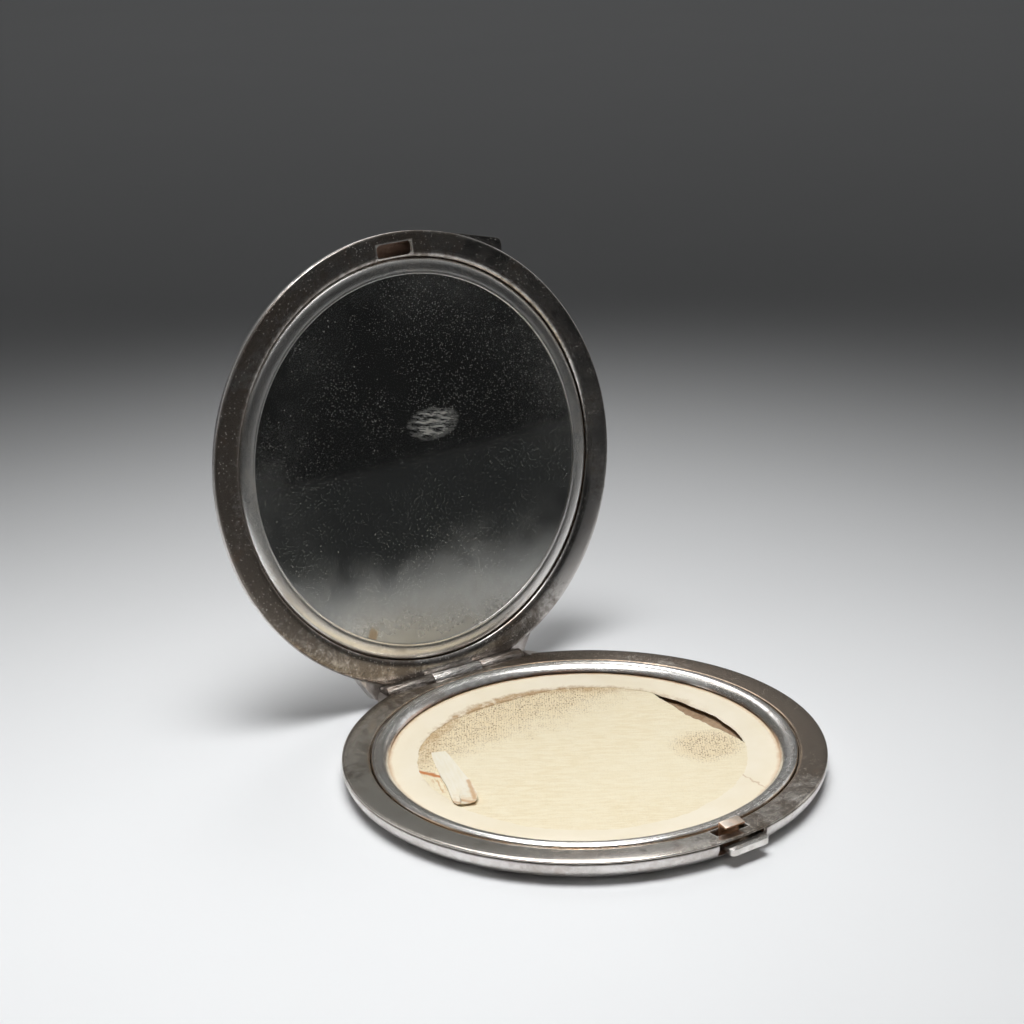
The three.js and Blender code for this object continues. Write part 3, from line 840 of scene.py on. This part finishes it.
def hinge():
    low, high = (v.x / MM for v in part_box("base_hinge_knuckle"))
    foot, neck = HINGE_Z - TROUGH_R + 0.2, HINGE_Z - 0.7
    web = block("web", (low, HINGE_Y - 0.5, foot), (high, HINGE_Y + 0.5, neck))
    knuckle("base_knuckle_tube", low, high, web, "base_hinge_knuckle", "base")
    for side in ("left", "right"):
        node = f"lid_hinge_knuckle_{side}"
        low, high = (v.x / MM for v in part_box(node))
        knuckle(f"lid_knuckle_tube_{side}", low, high, lid_leaf(low, high), node, "lid")
    pin = rod("hinge_pin_wire", 0.4, -HINGE_HALF, HINGE_HALF, 32)
    soften(pin, 0.2, segments=4)
    place(pin, "hinge", "base", "hinge_pin")


# ---- sifter ---------------------------------------------------------------------------------
def sifter_ring():
    crest = RIM_Z + 0.25
    outside = smooth_line([
        (SIFTER_OUT, 3.7), (SIFTER_OUT - 0.01, 3.95), (35.05, 4.17), (34.7, crest - 0.06), (34.2, crest),
        (33.7, crest - 0.07), (33.2, crest - 0.28), (32.75, 3.8), (32.45, 3.45), (SIFTER_IN, 3.2),
    ])
    rest = [(32.42, 3.1), (32.85, 3.15), (33.3, 3.72), (33.9, 4.0), (34.5, 3.9), (34.75, 3.5),
            (34.75, 1.7), (SIFTER_OUT, 1.7)]
    ring = lathe("sifter_ring_rolled", [*outside, *rest])
    crease(ring, 50)
    return place(ring, "ring", "base", "sifter_ring")


def angle_between(angle, middle):
    """Signed difference of two directions in degrees, from -180 to 180."""
    return (angle - middle + 180) % 360 - 180


def bulge(angle, middle, width):
    """1 at middle and 0 beyond width degrees, smooth between."""
    far = abs(angle_between(angle, middle)) / width
    return 0.0 if far >= 1 else math.cos(far * math.pi / 2) ** 2


def border_edge(angle):
    """Inner radius of the cream border at an angle in degrees: ragged, and pulled in at the back."""
    turn = math.radians(angle)
    where = Vector((math.cos(turn) * 3, math.sin(turn) * 3, 1.7))
    ragged = noise.noise(where * 2.2) * 0.35 + noise.noise(where * 9) * 0.16
    edge = BORDER_IN + ragged - 1.7 * bulge(angle, 88, 45) - 1.0 * bulge(angle, 8, 32)
    return edge + 0.6 * bulge(angle, 150, 50)


def net_edge(angle):
    """Radius that the net reaches: under the border, but torn away from it at the right."""
    torn = bulge(angle, 0, 31)
    turn = math.radians(angle)
    where = Vector((math.cos(turn) * 3, math.sin(turn) * 3, 4.2))
    fray = noise.noise(where * 7) * 0.22 + noise.noise(where * 24) * 0.14
    if torn <= 0.01:
        return NET_R
    return border_edge(angle) + 0.35 - 3.2 * torn ** 0.6 + fray


def net_height(x, y):
    """The slack net: level with the border at its edge, low waves, hollow in the middle."""
    radius = math.hypot(x, y)
    angle = math.degrees(math.atan2(y, x))
    sag = -0.22 * (1 - min(radius / BORDER_IN, 1) ** 2)
    broad = noise.noise(Vector((x * 0.10, y * 0.16, 0.3)))
    fine = noise.noise(Vector((x * 0.35, y * 0.5, 2)))
    waves = 0.09 * broad + 0.05 * fine
    flat = 1 - min(max((radius - 22) / 5, 0), 1)
    torn = bulge(angle, 0, 36) * min(max((radius - 15) / 9, 0), 1)
    fold = math.exp(-(((x + 21.8) / 2.4) ** 2 + ((y - 11.0) / 3.2) ** 2))
    return NET_Z + 0.14 + sag + waves * flat - 0.10 * torn + 0.16 * fold


def ring_sheet(name, inner, outer, height, radial=14, around=AROUND):
    """A surface between two edge curves given by angle in degrees."""
    points, faces = [], []
    for i in range(around):
        angle = 360 * i / around
        turn = math.radians(angle)
        low, high = inner(angle), outer(angle)
        for k in range(radial + 1):
            radius = low + (high - low) * k / radial
            x, y = radius * math.cos(turn), radius * math.sin(turn)
            points.append((x, y, height(x, y, k / radial)))
    row = radial + 1
    for i in range(around):
        j = (i + 1) % around
        for k in range(radial):
            faces.append((i * row + k, i * row + k + 1, j * row + k + 1, j * row + k))
    return mesh_object(name, points, faces)


def thicken(obj, thickness):
    """Makes a surface a closed sheet."""
    step = obj.modifiers.new("thicken", "SOLIDIFY")
    step.thickness = thickness * MM
    step.offset = 1
    bake(obj)
    return crease(obj, 60)


def sifter_border():
    def height(x, y, share):
        ripple = 0.04 * noise.noise(Vector((x * 0.2, y * 0.2, 5)))
        return 2.66 + 0.14 * min(share * 2.2, 1) + ripple * min(share * 4, 1)

    border = ring_sheet("sifter_border_kid", border_edge, lambda angle: 33.8, height, radial=20, around=720)
    thicken(border, 0.06)
    return place(border, "kid", "base", "sifter_border")


def sifter_net():
    cloth = ring_sheet("sifter_net_cloth", lambda angle: 0.02, net_edge,
                       lambda x, y, share: net_height(x, y), radial=110, around=720)
    thicken(cloth, 0.08)
    strip = ribbon()
    return place(cloth, "net", "base", "sifter_gauze")


def ribbon():
    """Narrow ribbon that lies on the net, its free end doubled back in a flat loop."""
    centre = [(-18.8, 15.4, 0.00), (-19.8, 12.4, 0.03), (-20.9, 9.2, 0.08), (-21.9, 6.0, 0.12),
              (-23.0, 2.4, 0.14), (-24.4, -0.8, 0.14), (-25.4, -2.8, 0.18), (-25.8, -3.8, 0.34),
              (-25.3, -3.8, 0.52), (-24.4, -2.4, 0.56), (-23.4, -0.6, 0.46), (-22.7, 0.8, 0.34)]
    widths = [2.4, 3.2, 3.6, 4.0, 4.2, 4.1, 3.6, 2.6, 2.4, 2.9, 2.6, 1.4]
    line = smooth_line([(*c, w) for c, w in zip(centre, widths)], 8)
    side = Vector((0.93, -0.36))
    across = 10
    points, faces = [], []
    for x, y, lift, width in line:
        for k in range(across + 1):
            t = k / across - 0.5
            px, py = x + side.x * t * width, y + side.y * t * width
            curl = 0.16 * (2 * t) ** 2 + 0.05 * noise.noise(Vector((px * 0.5, py * 0.4, lift)))
            points.append((px, py, net_height(px, py) + 0.10 + lift + curl * min(lift * 5, 1)))
    row = across + 1
    for i in range(len(line) - 1):
        for k in range(across):
            faces.append((i * row + k, i * row + k + 1, (i + 1) * row + k + 1, (i + 1) * row + k))
    strip = mesh_object("ribbon_pull_silk", points, faces)
    thicken(strip, 0.06)
    return place(strip, "silk", "base", "ribbon_pull")


# ---- catch ----------------------------------------------------------------------------------
def push_piece():
    left, right = CATCH_X - 3, CATCH_X + 4.6
    outline = rounded([(left, -37.95), (left, -41.7), (right, -41.4), (right, -37.95)], [0, 0.9, 0.9, 0], 8)
    tab = prism("push_piece_tab", outline, 2.1, 3.2)
    low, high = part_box("push_piece")
    flange = block("flange", (low.x / MM, -38.05, 2.2), (high.x / MM, -37.55, 3.2))
    boolean(tab, flange, "UNION")
    soften(tab, 0.22, segments=4)
    return place(tab, "bright", "catch", "push_piece")


def catch_hook():
    low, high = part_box("catch_hook")
    outer, inner = -37.1, high.y / MM
    under = LID_RIM_Z + PLATE + 0.35
    section = rounded(
        [(outer, 2.1), (outer, under), (-38.5, under), (-38.58, under + 0.34),
         (outer, under + 0.62), (inner - 0.1, high.z / MM), (inner, 2.1)],
        [0, 0.25, 0.1, 0.12, 0.4, 0.3, 0],
    )
    hook = bar("catch_hook_strip", section, low.x / MM, high.x / MM)
    soften(hook, 0.07, angle=50, segments=2)
    return place(hook, "bronze", "catch", "catch_hook")


def leaf_spring():
    """A bowed strip, with holes for the rivets that hold its ends in the posts. On the catch its middle
    gives way to the push piece; here it is built in one bowed shape.
    """
    low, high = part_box("catch_spring")
    front, rise, steps = low.y / MM, (high.y - low.y) / MM - LEAF, 48
    xs = [(low.x + (high.x - low.x) * i / steps) / MM for i in range(steps + 1)]
    half = (xs[-1] - xs[0]) / 2
    bow = [front + rise * ((x - CATCH_X) / half) ** 2 for x in xs]
    outline = [*zip(xs, bow), *[(x, y + LEAF) for x, y in zip(xs[::-1], bow[::-1])]]
    strip = prism("catch_spring_leaf", outline, low.z / MM, high.z / MM)
    for side in ("left", "right"):
        near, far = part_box(f"catch_rivet_{side}")
        x, z = (near.x + far.x) / 2 / MM, (near.z + far.z) / 2 / MM
        near_corner = (x - RIVET_HOLE, front - 1, z - RIVET_HOLE)
        far_corner = (x + RIVET_HOLE, front + 1, z + RIVET_HOLE)
        hole = block("hole", near_corner, far_corner)
        boolean(strip, hole, "DIFFERENCE")
    dress(strip, "bronze")
    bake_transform(strip)
    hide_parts("catch_spring")


def thumb_tab():
    inner = RIM_R + 0.1
    start, stop = math.radians(18.5), math.radians(34)
    arc = [start + (stop - start) * i / 12 for i in range(13)]
    curve = [(inner * math.sin(a), -inner * math.cos(a)) for a in reversed(arc)]
    outer = rounded([curve[-1], (22.6, -35.6), curve[0]], [0, 1.1, 0])
    tab = prism("thumb_tab_plate", [*outer[:-1], *curve[:-1]], LID_WALL_Z, LID_WALL_Z + 0.7)
    soften(tab, 0.12)
    return place(tab, "lid_rim", "lid", "thumb_tab")


# ---- the parts inside, carried over from the frame -------------------------------------------
def inside():
    finishes = {
        "powder_well": "hidden", "sifter_clamp_ring": "hidden", "spring_post_left": "hidden",
        "spring_post_right": "hidden", "catch_rivet_left": "bronze",
        "catch_rivet_right": "bronze", "mirror_backing_card": "card", "loose_powder": "powder",
    }
    for node, paint in finishes.items():
        dress(frame["nodes"][node], paint)


# ---- stage, lights, camera --------------------------------------------------------------------
def floor():
    mesh = bpy.data.meshes.new("floor")
    half = 3.0                     # metres
    corners = [(-half, -half, 0), (half, -half, 0), (half, half, 0), (-half, half, 0)]
    mesh.from_pydata(corners, [], [(0, 1, 2, 3)])
    plane = add_object("floor", mesh)
    p = Paint("pale_floor")
    colour = p.mix(p.noise(0.02, 3, 0.5), (0.80, 0.81, 0.82), (0.83, 0.84, 0.85))
    p.finish(Base_Color=colour, Roughness=0.7, Specular_IOR_Level=0.2)
    plane.data.materials.append(p.material)


def area_light(name, place_at, size, watts, toward=None, spread=180, diffuse=True):
    """A rectangular lamp that points down, or toward a point. Its sizes are in metres. With diffuse
    off it shows only in reflections."""
    data = bpy.data.lights.new(name, "AREA")
    data.shape = "RECTANGLE"
    data.size, data.size_y = size
    data.energy = watts
    data.spread = math.radians(spread)
    made = bpy.data.objects.new(name, data)
    made.location = place_at
    made.rotation_euler = (0, 0, VIEW_TURN)
    if toward:
        aim = Vector(toward) - Vector(place_at)
        made.rotation_euler = aim.to_track_quat("-Z", "Y").to_euler()
    made.visible_diffuse = diffuse
    bpy.context.scene.collection.objects.link(made)


def lights():
    """One broad lamp overhead, dim ones over the backdrop and behind the lid, and at each side a weak
    one for reflections. In reflections the world is a dim sweep that rises behind the object."""
    world = bpy.data.worlds.new("studio")
    world.use_nodes = True
    tree = world.node_tree
    where = tree.nodes.new("ShaderNodeTexCoord")
    rise = tree.nodes.new("ShaderNodeVectorMath")
    rise.operation = "DOT_PRODUCT"
    rise.inputs[1].default_value = (0.19, 0.29, 1.0)
    ramp = tree.nodes.new("ShaderNodeMapRange")
    ramp.interpolation_type = "SMOOTHSTEP"
    for socket, number in zip(ramp.inputs[1:5], (0.0, 0.8, 0.010, 0.25)):
        socket.default_value = number
    tree.links.new(where.outputs["Generated"], rise.inputs[0])
    tree.links.new(rise.outputs["Value"], ramp.inputs[0])
    ray = tree.nodes.new("ShaderNodeLightPath")
    strength = tree.nodes.new("ShaderNodeMix")
    strength.inputs[2].default_value = 0.009
    tree.links.new(ray.outputs["Is Glossy Ray"], strength.inputs[0])
    tree.links.new(ramp.outputs[0], strength.inputs[3])
    tree.links.new(strength.outputs[0], tree.nodes["Background"].inputs[1])
    tree.nodes["Background"].inputs[0].default_value = (0.97, 0.99, 1.0, 1)
    bpy.context.scene.world = world
    area_light("overhead", (-0.066, -0.02, 0.5), (0.40, 0.26), 0.41, spread=51)
    area_light("backdrop", (0.48, 0.72, 0.9), (1.2, 1.2), 0.38, spread=100)
    area_light("behind", (0.12, 0.24, 0.26), (0.14, 0.14), 0.03, toward=(0.03, 0.07, 0), spread=60)
    for name, place_at in (("left", (-0.75, 0.5, 0.30)), ("right", (0.9, -0.05, 0.30))):
        area_light(name, place_at, (0.5, 0.5), 0.2, toward=(0, 0, 0.03), spread=120, diffuse=False)
    bpy.context.scene.view_settings.view_transform = "Standard"


def camera():
    """Stands where the fitted view does, with its lengths in metres."""
    bearing, height, roll = VIEW_TURN, math.radians(20.286), math.radians(-1.476)
    distance = 0.41257
    target = Vector((0.00046, 0.02032, 0.03518 + RIM_Z * MM))
    level = Vector((math.sin(bearing), -math.cos(bearing), 0))
    back = level * math.cos(height) + Vector((0, 0, math.sin(height)))
    across = Vector((math.cos(bearing), math.sin(bearing), 0))
    upward = across.cross(-back)
    right = across * math.cos(roll) + upward * math.sin(roll)
    up = upward * math.cos(roll) - across * math.sin(roll)
    data = bpy.data.cameras.new("camera")
    data.sensor_width = 36
    data.lens = 86.95
    data.clip_start, data.clip_end = 0.01, 20
    made = bpy.data.objects.new("camera", data)
    made.matrix_world = Matrix((right, up, back)).transposed().to_4x4()
    made.location = target + back * distance
    bpy.context.scene.collection.objects.link(made)
    bpy.context.scene.camera = made


camera()
floor()
lights()
base_shell()
lid_shell()
base_rim()
lid_rim()
mirror_bezel()
mirror_glass()
hinge()
sifter_ring()
sifter_net()
sifter_border()
push_piece()
catch_hook()
leaf_spring()
thumb_tab()
inside()
